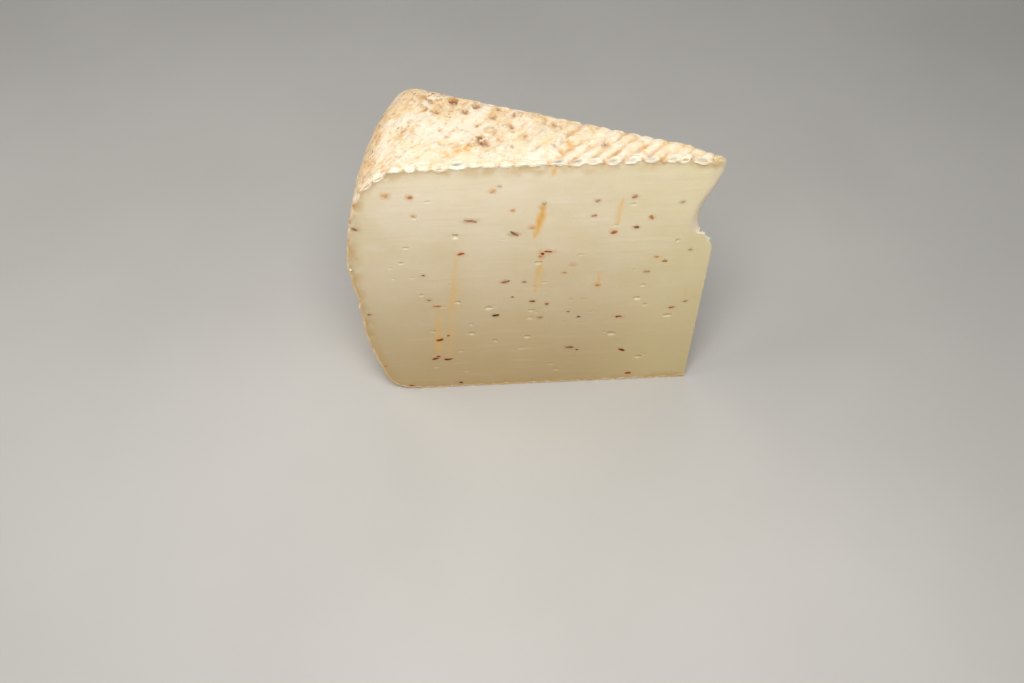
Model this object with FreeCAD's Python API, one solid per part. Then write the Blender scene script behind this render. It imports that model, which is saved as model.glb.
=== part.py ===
"""A wedge of pressed sheep's-milk tomme with chilli, cut from a small wheel.

Millimetres, +Z up. The origin is the middle of the wedge's footprint, on the surface that it stands on.
The front cut face looks towards -Y, the rim lies towards -X and the broken tip towards +X.
The wheel's axis is vertical and stands just beyond the tip.
"""

import FreeCAD
import Part

import math
import os

Vector = FreeCAD.Vector

# The wheel.
wheel_radius = 100.0  # at the widest part of the rim
wheel_height = 85.0
rim_bulge = 6.5  # how far the middle of the rim stands out past its ends
top_edge_round = 16.0  # rounding between the rim and the top
bottom_edge_round = 12.0

# The two cuts.
wedge_angle = 23.4  # degrees, between the front and the back cut face

# Ridges that the draining mat pressed into the top and the bottom.
ridge_pitch = 3.5
ridge_height = 0.7
crest_flat = 0.8  # width of the flat along each crest
ridge_angle = 45.0  # degrees, from the front cut face

# The tip is blunt, and a piece has broken out of it below the top.
# Each reach is a distance from the wheel's axis along the front cut face.
foot_reach = 2.9  # to the blunt end, at the bottom
ledge_reach = 1.5  # to the blunt end, just below the ledge
top_reach = 1.9  # to the tip, below its rounded top edge
break_height = 25.1  # from the ledge up to the top
ledge_end_reach = 5.4  # to the inner end of the ledge
ledge_fall = 3.6  # how far the ledge falls away towards the blunt end
ledge_swell = 0.5  # how far the ledge bows up past a straight slope
belly_reach = 6.3  # to the deepest part of the break
belly_rise = 6.0  # from the ledge up to the deepest part
shoulder_reach = 3.6  # to the break half way between its deepest part and the top
tip_edge_round = 1.5  # rounding of the top edge of the tip

clear = 1.0  # how far the cutting shapes run past the cheese

half_height = wheel_height / 2
depth = wheel_radius * math.sin(math.radians(wedge_angle))  # of the footprint, front to back
axis_x = (wheel_radius + min(foot_reach, ledge_reach, top_reach)) / 2
front_y = -depth / 2


def at_bearing(degrees, distance, height):
    """The point at that distance from the wheel's axis, in that direction round it, at that height."""
    bearing = math.radians(degrees)
    return Vector(
        axis_x + distance * math.cos(bearing),
        front_y + distance * math.sin(bearing),
        height,
    )


def rounded_edge(edge_round):
    """The rounding between the bottom of the wheel and its rim.

    Returns where it leaves the bottom, its middle and where it meets the rim, each as a distance from
    the wheel's axis and a height.
    """
    rim_radius = (half_height**2 + rim_bulge**2) / (2 * rim_bulge)
    rim_centre = wheel_radius - rim_radius
    rise = half_height - edge_round
    leaves = rim_centre + math.sqrt((rim_radius - edge_round) ** 2 - rise**2)
    slope = math.atan2(rise, leaves - rim_centre)
    middle = (slope + math.pi / 2) / 2
    return [
        (leaves, 0),
        (leaves + edge_round * math.cos(middle), edge_round * (1 - math.sin(middle))),
        (rim_centre + rim_radius * math.cos(slope), half_height - rim_radius * math.sin(slope)),
    ]


def smooth_wedge():
    """Half of the wheel's section, turned from the back cut face to the front one."""
    back = 180 - wedge_angle
    low = [at_bearing(back, *place) for place in rounded_edge(bottom_edge_round)]
    high = [
        at_bearing(back, distance, wheel_height - height)
        for distance, height in rounded_edge(top_edge_round)
    ]
    bottom_centre = at_bearing(back, 0, 0)
    top_centre = at_bearing(back, 0, wheel_height)
    widest = at_bearing(back, wheel_radius, half_height)
    outline = Part.Wire(
        [
            Part.makeLine(bottom_centre, low[0]),
            Part.Arc(*low).toShape(),
            Part.Arc(low[2], widest, high[2]).toShape(),
            Part.Arc(*reversed(high)).toShape(),
            Part.makeLine(high[0], top_centre),
            Part.makeLine(top_centre, bottom_centre),
        ]
    )
    return Part.Face(outline).revolve(bottom_centre, Vector(0, 0, 1), wedge_angle)


def ridged_slab():
    """A slab as high as the wheel, with the mat's ridges along its top and its bottom.

    Each ridge is an arc that reaches a little past the wheel's flat, which then trims its crest.
    """
    bearing = math.radians(ridge_angle)
    along = Vector(math.cos(bearing), math.sin(bearing), 0)
    across = Vector(-math.sin(bearing), math.cos(bearing), 0)
    half_pitch = ridge_pitch / 2
    half_flat = crest_flat / 2
    trimmed = ridge_height * half_flat**2 / (half_pitch**2 - half_flat**2)
    reach = wheel_radius + clear
    ridges = 2 * math.ceil(reach / ridge_pitch) + 1  # an odd number, so one crest passes the origin
    start = -ridges * half_pitch

    def ridge_row(valley_height, crest_height):
        valleys = [start + i * ridge_pitch for i in range(ridges)]
        return [
            Part.Arc(
                across * valley + Vector(0, 0, valley_height),
                across * (valley + half_pitch) + Vector(0, 0, crest_height),
                across * (valley + ridge_pitch) + Vector(0, 0, valley_height),
            ).toShape()
            for valley in valleys
        ]

    low = ridge_height
    high = wheel_height - ridge_height
    edges = ridge_row(low, -trimmed) + ridge_row(high, wheel_height + trimmed)
    for end in (start, -start):
        edges.append(
            Part.makeLine(
                across * end + Vector(0, 0, low),
                across * end + Vector(0, 0, high),
            )
        )
    outline = Part.Wire(Part.sortEdges(edges)[0])
    outline.translate(along * -reach)
    return Part.Face(outline).extrude(along * (2 * reach))


def tip_waste():
    """What is missing beyond the tip, with the piece that broke out below the top."""

    def point(reach, height):
        return Vector(axis_x - reach, front_y - clear, height)

    ledge = wheel_height - break_height
    ledge_outer = point(ledge_reach, ledge - ledge_fall)
    ledge_inner = point(ledge_end_reach, ledge)
    slope = (ledge_outer - ledge_inner).normalize()
    ledge_middle = (ledge_outer + ledge_inner) / 2 + Vector(-slope.z, 0, slope.x) * ledge_swell
    belly_height = ledge + belly_rise
    edge_start = wheel_height - tip_edge_round
    torn = Part.BSplineCurve()
    torn.interpolate(
        [
            ledge_inner,
            point(belly_reach, belly_height),
            point(shoulder_reach, (belly_height + edge_start) / 2),
            point(top_reach, edge_start),
        ]
    )
    corner = tip_edge_round * (1 - math.sqrt(0.5))
    edge_end = point(top_reach + tip_edge_round, wheel_height)
    past_top = point(top_reach + tip_edge_round, wheel_height + clear)
    outer_top = point(-clear, wheel_height + clear)
    outer_bottom = point(-clear, -clear)
    foot = point(foot_reach, 0)
    past_foot = point(foot_reach, -clear)
    outline = Part.Wire(
        [
            Part.makeLine(past_foot, foot),
            Part.makeLine(foot, ledge_outer),
            Part.Arc(ledge_outer, ledge_middle, ledge_inner).toShape(),
            torn.toShape(),
            Part.Arc(
                point(top_reach, edge_start),
                point(top_reach + corner, wheel_height - corner),
                edge_end,
            ).toShape(),
            Part.makeLine(edge_end, past_top),
            Part.makeLine(past_top, outer_top),
            Part.makeLine(outer_top, outer_bottom),
            Part.makeLine(outer_bottom, past_foot),
        ]
    )
    return Part.Face(outline).extrude(Vector(0, depth + 2 * clear, 0))


def cheese_wedge():
    return smooth_wedge().common(ridged_slab()).cut(tip_waste())


os.makedirs("parts", exist_ok=True)
(solid,) = cheese_wedge().Solids
solid.exportStep("parts/cheese_wedge.step")
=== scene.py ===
import math
import random
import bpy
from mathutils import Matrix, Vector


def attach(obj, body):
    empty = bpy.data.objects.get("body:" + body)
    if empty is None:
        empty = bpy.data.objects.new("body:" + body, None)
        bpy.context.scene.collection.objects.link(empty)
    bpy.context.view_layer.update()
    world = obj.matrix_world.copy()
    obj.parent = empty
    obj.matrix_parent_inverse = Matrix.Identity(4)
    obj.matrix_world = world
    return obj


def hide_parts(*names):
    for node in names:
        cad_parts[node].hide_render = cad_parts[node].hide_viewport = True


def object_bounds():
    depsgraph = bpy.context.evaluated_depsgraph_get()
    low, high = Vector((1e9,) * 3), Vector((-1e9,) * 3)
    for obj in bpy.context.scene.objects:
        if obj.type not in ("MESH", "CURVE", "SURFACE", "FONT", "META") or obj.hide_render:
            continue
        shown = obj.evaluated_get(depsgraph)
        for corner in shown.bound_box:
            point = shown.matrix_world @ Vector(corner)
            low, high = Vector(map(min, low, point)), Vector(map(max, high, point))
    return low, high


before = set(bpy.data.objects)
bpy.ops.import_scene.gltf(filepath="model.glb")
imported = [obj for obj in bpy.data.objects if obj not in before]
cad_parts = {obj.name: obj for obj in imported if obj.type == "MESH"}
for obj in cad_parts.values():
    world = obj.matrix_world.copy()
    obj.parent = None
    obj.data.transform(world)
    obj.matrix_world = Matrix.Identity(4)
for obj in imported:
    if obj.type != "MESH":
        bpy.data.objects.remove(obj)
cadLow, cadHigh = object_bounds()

from types import SimpleNamespace

import bpy
import numpy as np
from mathutils import Matrix, Vector, noise
from mathutils.bvhtree import BVHTree

mm = 0.001

# The wheel that the wedge was cut from. Its radius and its axis follow from the wedge's own box.
wheel = {
    "wedgeAngle": math.radians(23.4),
    "rimBulge": 6.5 * mm,
    "topRound": 16 * mm,
    "bottomRound": 12 * mm,
    "height": cadHigh.z - cadLow.z,
}
wheel["radius"] = (cadHigh.y - cadLow.y) / math.sin(wheel["wedgeAngle"])
axisX = cadLow.x + wheel["radius"]
frontY = cadLow.y
height = wheel["height"]
angle = wheel["wedgeAngle"]

# The blunt tip and the break in it. A reach is a distance from the wheel's axis.
tip = {
    "footReach": 2.9 * mm,
    "ledgeReach": 1.5 * mm,
    "topReach": 1.9 * mm,
    "breakHeight": 25.1 * mm,
    "ledgeEndReach": 5.4 * mm,
    "ledgeFall": 3.6 * mm,
    "bellyReach": 6.3 * mm,
    "bellyRise": 6 * mm,
    "shoulderReach": 3.6 * mm,
    "edgeRound": 1.5 * mm,
}
ledge = height - tip["breakHeight"]

# The imprint of the draining mat. The ridges fan out from the front cut: the slope is how far a ridge
# leans towards the tip for each step away from that cut.
ridges = {
    "depth": 0.62 * mm,
    "spacing": 4.4 * mm,
    "fanReach": [0, 20 * mm, 45 * mm, 65 * mm, 90 * mm, 140 * mm],
    "fanSlope": [1.3, 1.15, 1.0, 0.8, 0.5, 0.35],
    "wander": [(0.12, 15, 3.1), (0.16, 3.6, 5.7), (0.09, 1.4, 6.2)],  # noise, as shares of a spacing
    "straightFor": 4 * mm,  # behind the front cut
    "wornOver": (40 * mm, 66 * mm),  # from a reach to a reach
    "rubbed": [(54 * mm, 3 * mm, 11 * mm), (76 * mm, 5 * mm, 13 * mm)],  # reach, behind the front cut, size
}

# Where the ridges end at the front cut, from the tip to the rim, in millimetres: reach, width,
# place behind the edge, overhang, and how deep the hollow in it is (0 to 1).
lips = {
    "front": [
        (7.7, 4.2, -0.1, 0.8, 0.8), (12.2, 2.3, -0.4, 1.2, 0.1), (15.1, 3.2, -0.1, 0.6, 0.6),
        (20.5, 3.5, 0.0, 0.4, 0.6), (25.4, 3.6, 0.2, 0.3, 0.6), (30.2, 3.7, 0.5, 0.5, 0.8),
        (34.8, 3.8, 0.2, 0.2, 0.5), (39.0, 4.0, 0.9, 0.5, 0.9), (43.6, 4.2, 1.0, 0.35, 1.0),
        (48.6, 4.0, 0.4, 0.05, 0.1), (52.9, 2.6, 0.3, 0.1, 0.0), (56.7, 2.7, 0.2, 0.2, 0.15),
        (61.0, 3.2, 0.3, 0.2, 0.1), (64.5, 2.5, 0.2, 0.3, 0.0), (68.8, 4.0, 1.2, 0.7, 1.0),
        (73.2, 3.4, 0.8, 0.8, 0.5), (77.0, 2.9, 0.0, 0.45, 0.1), (80.5, 2.3, -0.3, 0.9, 0.0),
        (84.2, 2.7, -0.2, 0.5, 0.0), (88.9, 3.4, -0.3, 1.1, 0.1),
    ],
    "rim": [  # round the corner and down the rim, by height
        (80.6, 4.0, -0.2, 0.9, 0.3), (76.6, 3.6, -0.1, 0.6, 0.2), (71.6, 3.6, 0.1, 0.35, 0.3),
        (65.6, 2.6, 0.1, 0.12, 0.1), (38.0, 1.8, -0.1, 0.3, 0.0), (24.0, 1.6, -0.1, 0.3, 0.0),
    ],
    "standOut": 0.24 * mm,  # from the cut
    "swell": 0.18 * mm,
    "hollow": 0.36 * mm,
    "rolledOver": 0.6 * mm,  # behind the cut, the length of rind that bends down
    "backWidths": (2.2, 3.8),
    "backRim": (78, 74.5, 70.5, 67),
}


# Small helpers.


def deselect():
    if bpy.context.object and bpy.context.object.mode != "OBJECT":
        bpy.ops.object.mode_set(mode="OBJECT")
    bpy.ops.object.select_all(action="DESELECT")


def activate(piece):
    deselect()
    piece.select_set(True)
    bpy.context.view_layer.objects.active = piece


# Edit mode with everything selected.
def editAll(piece):
    activate(piece)
    bpy.ops.object.mode_set(mode="EDIT")
    bpy.ops.mesh.select_all(action="SELECT")


def leaveEdit():
    bpy.ops.object.mode_set(mode="OBJECT")


def copyOf(piece):
    activate(piece)
    bpy.ops.object.duplicate()
    return bpy.context.object


def pointsOf(piece):
    flat = np.empty(len(piece.data.vertices) * 3)
    piece.data.vertices.foreach_get("co", flat)
    return flat.reshape(-1, 3)


def movePoints(piece, points):
    piece.data.vertices.foreach_set("co", np.ascontiguousarray(points, float).ravel())
    piece.data.update()


def faceCentres(piece):
    flat = np.empty(len(piece.data.polygons) * 3)
    piece.data.polygons.foreach_get("center", flat)
    return flat.reshape(-1, 3)


# Edit mode with the chosen faces or edges selected: one True or False for each of them.
def pick(piece, kind, chosen):
    activate(piece)
    bpy.ops.object.mode_set(mode="EDIT")
    bpy.ops.mesh.select_mode(type=kind)
    bpy.ops.mesh.select_all(action="DESELECT")
    leaveEdit()
    parts = piece.data.polygons if kind == "FACE" else piece.data.edges
    parts.foreach_set("select", np.asarray(chosen, bool))
    bpy.ops.object.mode_set(mode="EDIT")


def closeMesh(piece):
    editAll(piece)
    bpy.ops.mesh.remove_doubles(threshold=1e-7)
    bpy.ops.mesh.normals_make_consistent(inside=False)
    leaveEdit()


def addModifier(piece, kind, **settings):
    activate(piece)
    modifier = piece.modifiers.new(kind.title(), kind)
    for name, value in settings.items():
        setattr(modifier, name, value)
    bpy.ops.object.modifier_apply(modifier=modifier.name)


def smoothShade(piece, degrees):
    activate(piece)
    bpy.ops.object.shade_smooth_by_angle(angle=math.radians(degrees))


# One value for each point, which the materials' colours read by its name.
def paint(piece, name, values):
    attribute = piece.data.attributes.new(name, "FLOAT", "POINT")
    attribute.data.foreach_set("value", np.asarray(values, np.float32))


def joinPieces(pieces, name):
    deselect()
    for piece in pieces:
        piece.select_set(True)
    bpy.context.view_layer.objects.active = pieces[0]
    bpy.ops.object.join()
    pieces[0].name = name
    pieces[0].data.name = name
    return pieces[0]


# Smooth noise from -1 to 1 at each point, with lumps of about that size.
def grain(points, size, seed):
    scaled = points / size + seed
    return np.array([noise.noise(p) for p in scaled.tolist()])


# Layers of that noise added up: the amount of each, its size in millimetres and its seed.
def grains(points, *layers):
    return sum(amount * grain(points, size * mm, seed) for amount, size, seed in layers)


# 0 at start, 1 at end, smooth between them.
def ramp(values, start, end):
    t = np.clip((np.asarray(values) - start) / (end - start), 0, 1)
    return t * t * (3 - 2 * t)


# 1 in the middle, falling off smoothly on both sides.
def hump(values, middle, half):
    return np.exp(-(((values - middle) / half) ** 2))


# How far points lie from the wheel's axis, and how far round it from the front cut.
def polar(points):
    x, y = points[:, 0], points[:, 1]
    return np.hypot(x - axisX, y - frontY), np.arctan2(y - frontY, axisX - x)


# The outline of the cut face, as pairs of reach and height.


# Points at even steps along a line.
def evenly(places, cells):
    places = np.array(places, float)
    steps = np.hypot(*np.diff(places, axis=0).T)
    along = np.concatenate([[0], np.cumsum(steps)])
    wanted = np.linspace(0, along[-1], cells + 1)
    return np.column_stack([np.interp(wanted, along, places[:, i]) for i in (0, 1)])


def lengthOf(places):
    return np.hypot(*np.diff(np.array(places, float), axis=0).T).sum()


def arc(centre, size, fromAngle, toAngle, cells=40):
    turn = np.linspace(fromAngle, toAngle, cells + 1)
    return np.column_stack([centre[0] + size[0] * np.cos(turn), centre[1] + size[1] * np.sin(turn)])


# The rim's bulge as part of a circle: its radius and the reach of its centre.
def rimCircle():
    half = height / 2
    radius = (half**2 + wheel["rimBulge"] ** 2) / (2 * wheel["rimBulge"])
    return radius, wheel["radius"] - radius


# The reach of a rounding's centre, and the slope where the rim meets the rounding.
def roundingOf(size):
    radius, centre = rimCircle()
    rise = height / 2 - size
    reach = centre + math.sqrt((radius - size) ** 2 - rise**2)
    return reach, math.atan2(rise, reach - centre)


# The blunt end, from the foot up to the top edge.
def tipLine():
    edgeStart = height - tip["edgeRound"]
    belly = ledge + tip["bellyRise"]
    heights = [ledge, belly, (belly + edgeStart) / 2, edgeStart]
    reaches = [tip["ledgeEndReach"], tip["bellyReach"], tip["shoulderReach"], tip["topReach"]]
    curve = np.polyfit(heights, reaches, 3)
    lip = (tip["ledgeEndReach"] - tip["ledgeReach"], tip["ledgeFall"])
    corner = arc((tip["ledgeEndReach"], ledge - tip["ledgeFall"]), lip, math.pi, math.pi / 2, 12)
    torn = [(np.polyval(curve, z), z) for z in np.linspace(ledge, edgeStart, 40)]
    edgeCentre = (tip["topReach"] + tip["edgeRound"], edgeStart)
    edge = arc(edgeCentre, (tip["edgeRound"], tip["edgeRound"]), math.pi, math.pi / 2, 8)
    return [(tip["footReach"], 0), *corner.tolist(), *torn[1:], *edge[1:].tolist()]


# The rind's three stretches: top, rim with both roundings, bottom. All start at the top's end of it.
def rindStretches():
    rimRadius, rimCentre = rimCircle()
    topReach, topSlope = roundingOf(wheel["topRound"])
    lowReach, lowSlope = roundingOf(wheel["bottomRound"])
    topSize = (wheel["topRound"], wheel["topRound"])
    lowSize = (wheel["bottomRound"], wheel["bottomRound"])
    topCentre = (topReach, height - wheel["topRound"])
    lowCentre = (lowReach, wheel["bottomRound"])
    top = [(tip["topReach"] + tip["edgeRound"], height), (topReach, height)]
    rim = arc(topCentre, topSize, math.pi / 2, topSlope).tolist()
    rim += arc((rimCentre, height / 2), (rimRadius, rimRadius), topSlope, -lowSlope).tolist()
    rim += arc(lowCentre, lowSize, -lowSlope, -math.pi / 2).tolist()
    return top, rim, [(lowReach, 0), (tip["footReach"], 0)]


# The four sides of the cut face: bottom and top from the tip to the rim, tip and rim from the bottom up.
def outlineSides(columns, rows):
    top, rim, low = rindStretches()
    # About half of each rounding goes to the flat next to it, the rest to the rim.
    upper = math.pi / 4 * wheel["topRound"]
    lower = math.pi / 4 * wheel["bottomRound"]
    steps = 400
    line = evenly(rim, steps)
    along = np.linspace(0, lengthOf(rim), steps + 1)
    fromTop = along < upper
    fromLow = along > along[-1] - lower
    middle = ~fromTop & ~fromLow
    topLine = top + line[fromTop][1:].tolist()
    lowLine = line[fromLow].tolist() + low[1:]
    rimLine = [topLine[-1], *line[middle].tolist(), lowLine[0]]
    across = [evenly(lowLine[::-1], columns), evenly(topLine, columns)]
    return across + [evenly(tipLine(), rows), evenly(rimLine[::-1], rows)]


# How deep a place of the cut face lies under the rind, and which way the rind nearest to it faces.
def underRind(reach, z):
    rimRadius, rimCentre = rimCircle()
    fromRim = np.hypot(reach - rimCentre, z - height / 2)
    depth = rimRadius - fromRim
    facing = np.column_stack([reach - rimCentre, z - height / 2]) / fromRim[:, None]
    for flat, way in ((height - z, 1), (z, -1)):
        nearer = flat < depth
        depth = np.where(nearer, flat, depth)
        facing[nearer] = (0, way)
    topSize, lowSize = wheel["topRound"], wheel["bottomRound"]
    for size, level, way in ((topSize, height - topSize, 1), (lowSize, lowSize, -1)):
        centre, slope = roundingOf(size)
        across = reach - centre
        up = (z - level) * way
        away = np.maximum(np.hypot(across, up), 1e-9)
        inside = (up > 0) & (across > 0) & (np.arctan2(up, across) > slope)
        depth = np.where(inside, size - away, depth)
        facing[inside] = np.column_stack([across / away, up * way / away])[inside]
    return np.maximum(depth, 0), facing


# The way the rind faces in the cut face, turned with it about the axis.
def turnedFacing(facing, turn):
    sideward, upward = facing.T
    return np.column_stack([-np.cos(turn) * sideward, np.sin(turn) * sideward, upward])


# What the cut faces hold, in millimetres from the wheel's axis and up from the bottom.

eyes = {
    "front": [  # reach, height, width, height of the eye
        (70.6, 62.4, 1.8, 1.6), (81, 69.3, 1.6, 0.8), (77, 74.5, 1.9, 0.7), (84, 59, 2.0, 0.8),
        (86, 53.6, 1.8, 0.9), (88.6, 48, 1.7, 0.8), (83.6, 48, 1.8, 0.7), (48.6, 51.7, 2.4, 0.9),
        (37.2, 54, 2.4, 0.7), (24, 70.8, 1.8, 0.8), (28.3, 63.8, 2.0, 0.7), (11, 57.6, 1.8, 0.8),
        (19.2, 41.3, 2.0, 0.9), (20.4, 36.2, 1.9, 1.1), (18.1, 33.3, 1.7, 1.0), (35.4, 36.5, 1.9, 0.7),
        (39.4, 36.5, 1.6, 0.7), (62.9, 34.7, 2.3, 1.1), (50.6, 33, 2.2, 1.0), (51.1, 29.9, 1.9, 0.9),
        (68.2, 28.1, 2.0, 0.8), (68.2, 24.3, 2.3, 1.1), (79.4, 25.8, 1.8, 0.8), (71.5, 37.6, 1.7, 0.9),
        (81.5, 41.1, 1.6, 0.9), (52, 22, 2.1, 1.1), (61.5, 20.8, 1.3, 1.0), (72, 16.8, 1.8, 0.9),
        (53.6, 17, 3.4, 0.8), (27, 21.7, 2.6, 1.5), (43.3, 6.5, 2.1, 0.9), (45, 9.2, 1.8, 0.8),
        (18, 10.5, 2.4, 1.2), (11, 28.6, 2.4, 1.2), (79.8, 10, 1.5, 0.8), (71, 7.4, 1.8, 0.8),
        (33.3, 31.3, 1.8, 0.6), (76, 36.0, 2.2, 0.6), (47, 44, 1.6, 0.6), (89, 52, 1.4, 0.7),
        (29.2, 22.6, 1.4, 0.8), (25.2, 20.6, 1.2, 0.6), (16.2, 11.6, 1.3, 0.7), (19.6, 9.4, 1.2, 0.6),
        (55.6, 16.2, 1.6, 0.6), (49.2, 32.0, 1.3, 0.6), (61.2, 35.4, 1.2, 0.6), (66.4, 28.8, 1.3, 0.5),
        (41.2, 27.6, 1.5, 0.5), (33.0, 26.2, 1.3, 0.5), (44.6, 21.4, 1.2, 0.5), (58.2, 60.6, 1.5, 0.5),
        (80.8, 52.8, 1.3, 0.5), (73.4, 44.6, 1.2, 0.5), (9.8, 27.4, 1.2, 0.6), (22.0, 47.6, 1.3, 0.5),
    ],
    "backCount": 40,
    "depth": 0.42,  # of the eye's height
    "lip": 0.05 * mm,
}

streaks = {  # chilli oil drawn along by the knife: from, to, width, strength
    "front": [
        ((44.4, 83.6), (46.0, 80.6), 1.3, 0.75),
        ((47.1, 71.9), (49.5, 61.0), 1.7, 0.95),
        ((47.9, 51.5), (49.6, 40.6), 1.9, 0.6),
        ((26.9, 72.4), (28.0, 64.0), 1.5, 0.5),
        ((31.4, 47.0), (32.0, 41.7), 1.4, 0.6),
        ((71.1, 54.2), (75.4, 14.2), 2.0, 0.38),
        ((77.2, 34.2), (78.7, 14.6), 1.8, 0.5),
        ((75.0, 22.0), (75.6, 13.8), 1.6, 0.45),
        ((6.9, 39.0), (6.9, 36.0), 0.7, 0.5),
    ],
    "back": [
        ((38, 70), (36.5, 58), 1.8, 0.8),
        ((63, 48), (60.5, 22), 1.6, 0.3),
        ((20, 52), (19.2, 44), 1.2, 0.5),
        ((82, 60), (80, 46), 1.5, 0.35),
        ((52, 30), (51.2, 20), 1.7, 0.5),
    ],
    "fade": 3.0,  # half widths over which it fades out
}

flakes = {  # reach, height, length, width, tilt in degrees, how deep in the paste (below 0: charred)
    "red": [
        (45.8, 55.5, 4.6, 1.2, -3, -0.2), (47.4, 55.1, 2.4, 2.0, 35, -0.2), (28.6, 61.5, 1.9, 1.2, 30, 0.2),
        (69.6, 56, 2.3, 0.9, 14), (10.1, 31.8, 2.2, 0.8, 14, -0.2), (77.9, 22, 2.2, 1.0, 12, -0.4),
        (79.9, 13.6, 1.7, 0.9, 25, -0.6), (78.8, 14.6, 1.0, 0.7, 0, -0.6), (76.1, 13.2, 2.3, 0.9, 4, -0.8),
        (23.4, 14, 2.1, 0.8, -22, -0.5), (23.9, 73.3, 1.3, 1.0, 20, 0.4), (19, 66.2, 1.4, 1.0, -50, 0.3),
        (39.2, 50.5, 1.8, 0.7, 10, 0.1), (46.3, 35.4, 1.0, 0.8, 0, 0.2), (20.6, 2.9, 1.8, 0.8, 0, -0.5),
        (77.7, 36.3, 2.5, 0.6, -4, 0.3), (41.5, 47.4, 1.0, 0.5, 0, 0.4), (14, 50.2, 1.2, 0.7, 0, 0.3),
        (88.1, 1.6, 1.5, 0.7, 0, -0.5), (25.4, 28.8, 3.2, 1.0, 2, -0.6),
    ],
    "dark": [
        (66.5, 67.4, 4.0, 1.1, -13, 0.3), (54.9, 62.3, 3.4, 0.8, -38, 0.2), (80.4, 48.6, 1.4, 0.9, 10, -0.3),
        (61, 31.5, 2.2, 1.1, 5, -1), (48.3, 29.8, 1.6, 0.8, 0, 0.4), (39.4, 16.3, 2.6, 0.7, -5, -0.4),
        (37.1, 15.1, 1.1, 0.6, -15), (33.3, 72.5, 1.4, 0.7, 20, 0.45), (34.1, 67.5, 1.3, 0.6, 12, 0.35),
        (58.5, 78.5, 1.0, 0.6, 0, 0.7), (47.1, 72.3, 1.0, 0.7, 0, 0.6), (22.9, 63, 1.6, 0.9, 8, 0.1),
        (52.6, 44.5, 1.0, 0.6, 0, 0.25), (50.3, 36.7, 1.7, 0.7, -5), (79.7, 39, 1.3, 0.7, -10, -0.2),
        (18.6, 46.5, 1.7, 0.7, 0, 0.45), (97, 34.2, 2.0, 0.7, 0, -0.2), (40.1, 31.8, 0.8, 0.5, 0, 0.2),
        (37, 29.5, 1.1, 0.8, 0, 0.1), (56, 38.7, 0.8, 0.5, 0), (6.5, 34, 1.3, 0.5, 20, 0.1),
        (75.1, 23.8, 1.0, 0.6, 0), (72.8, 1.9, 1.7, 0.7, -15), (11.4, 70.9, 1.4, 0.7, 8, 0.65),
        (7.4, 54.1, 0.9, 0.6, 0, 0.45), (96.6, 66.3, 2.0, 1.0, -30, 0.15), (44.4, 83.9, 1.1, 0.6, 25, -0.3),
        (57.9, 44.8, 2.1, 0.9, 20, 0.1),
    ],
    "orange": [
        (81.4, 76.1, 2.0, 1.6, 0), (87.4, 76.9, 2.0, 1.5, 0, 0.4), (47.9, 53.9, 1.6, 1.3, 0),
        (32, 42, 1.3, 0.8, 0), (81, 70, 1.1, 0.6, -10), (60.3, 77.0, 1.8, 0.8, 40, 0.45),
        (50.2, 64.4, 1.4, 1.0, 0, 0.4), (47.6, 71.0, 1.2, 0.7, 60, 0.3), (95.1, 11.2, 1.2, 0.6, 0),
        (16.3, 51.9, 1.3, 0.5, -5), (55.4, 70.4, 0.9, 0.6, 0, 0.2),
    ],
    "backCounts": {"red": 24, "dark": 26, "orange": 12},
    "thickness": 0.34 * mm,
    "seeds": {"red": 21, "dark": 22, "orange": 23},
}
flakeKinds = ("red", "dark", "orange")


# Places on the back cut face, at random but clear of its edges.
def scatteredPlaces(count, seed, margin):
    random.seed(seed)
    places = []
    while len(places) < count:
        reach = random.uniform(8, wheel["radius"] / mm - 3)
        z = random.uniform(3, height / mm - 3)
        if underRind(np.array([reach * mm]), np.array([z * mm]))[0][0] > margin * mm:
            places.append((reach, z))
    return places


def eyesOf(side):
    if side == "front":
        return eyes["front"]
    places = scatteredPlaces(eyes["backCount"], 11, 2.5)
    return [(reach, z, random.uniform(1.3, 2.6), random.uniform(0.6, 1.3)) for reach, z in places]


def flakesOf(kind, side):
    if side == "front":
        return [(*flake, 0)[:6] for flake in flakes[kind]]
    found = []
    for reach, z in scatteredPlaces(flakes["backCounts"][kind], flakes["seeds"][kind], 1.5):
        length = random.choice([1.0, 1.2, 1.5, 1.8, 2.2, 2.8, 3.8])
        width, tilt = length * random.uniform(0.25, 0.5), random.gauss(0, 18)
        found.append((reach, z, length, width, tilt, random.choice([-0.6, 0, 0, 0.3, 0.6])))
    return found


cutTurns = {"front": 0.0, "back": angle}


# Where a place on a cut lies.
def onCut(side, reach, z):
    turn = cutTurns[side]
    return np.array([axisX - reach * math.cos(turn), frontY + reach * math.sin(turn), z])


# Which way a cut faces.
def cutFacing(side):
    return np.array([0, -1, 0]) if side == "front" else np.array([math.sin(angle), math.cos(angle), 0])


# Shape of the rind and of the cut faces, as moves of the points near them.

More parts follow.
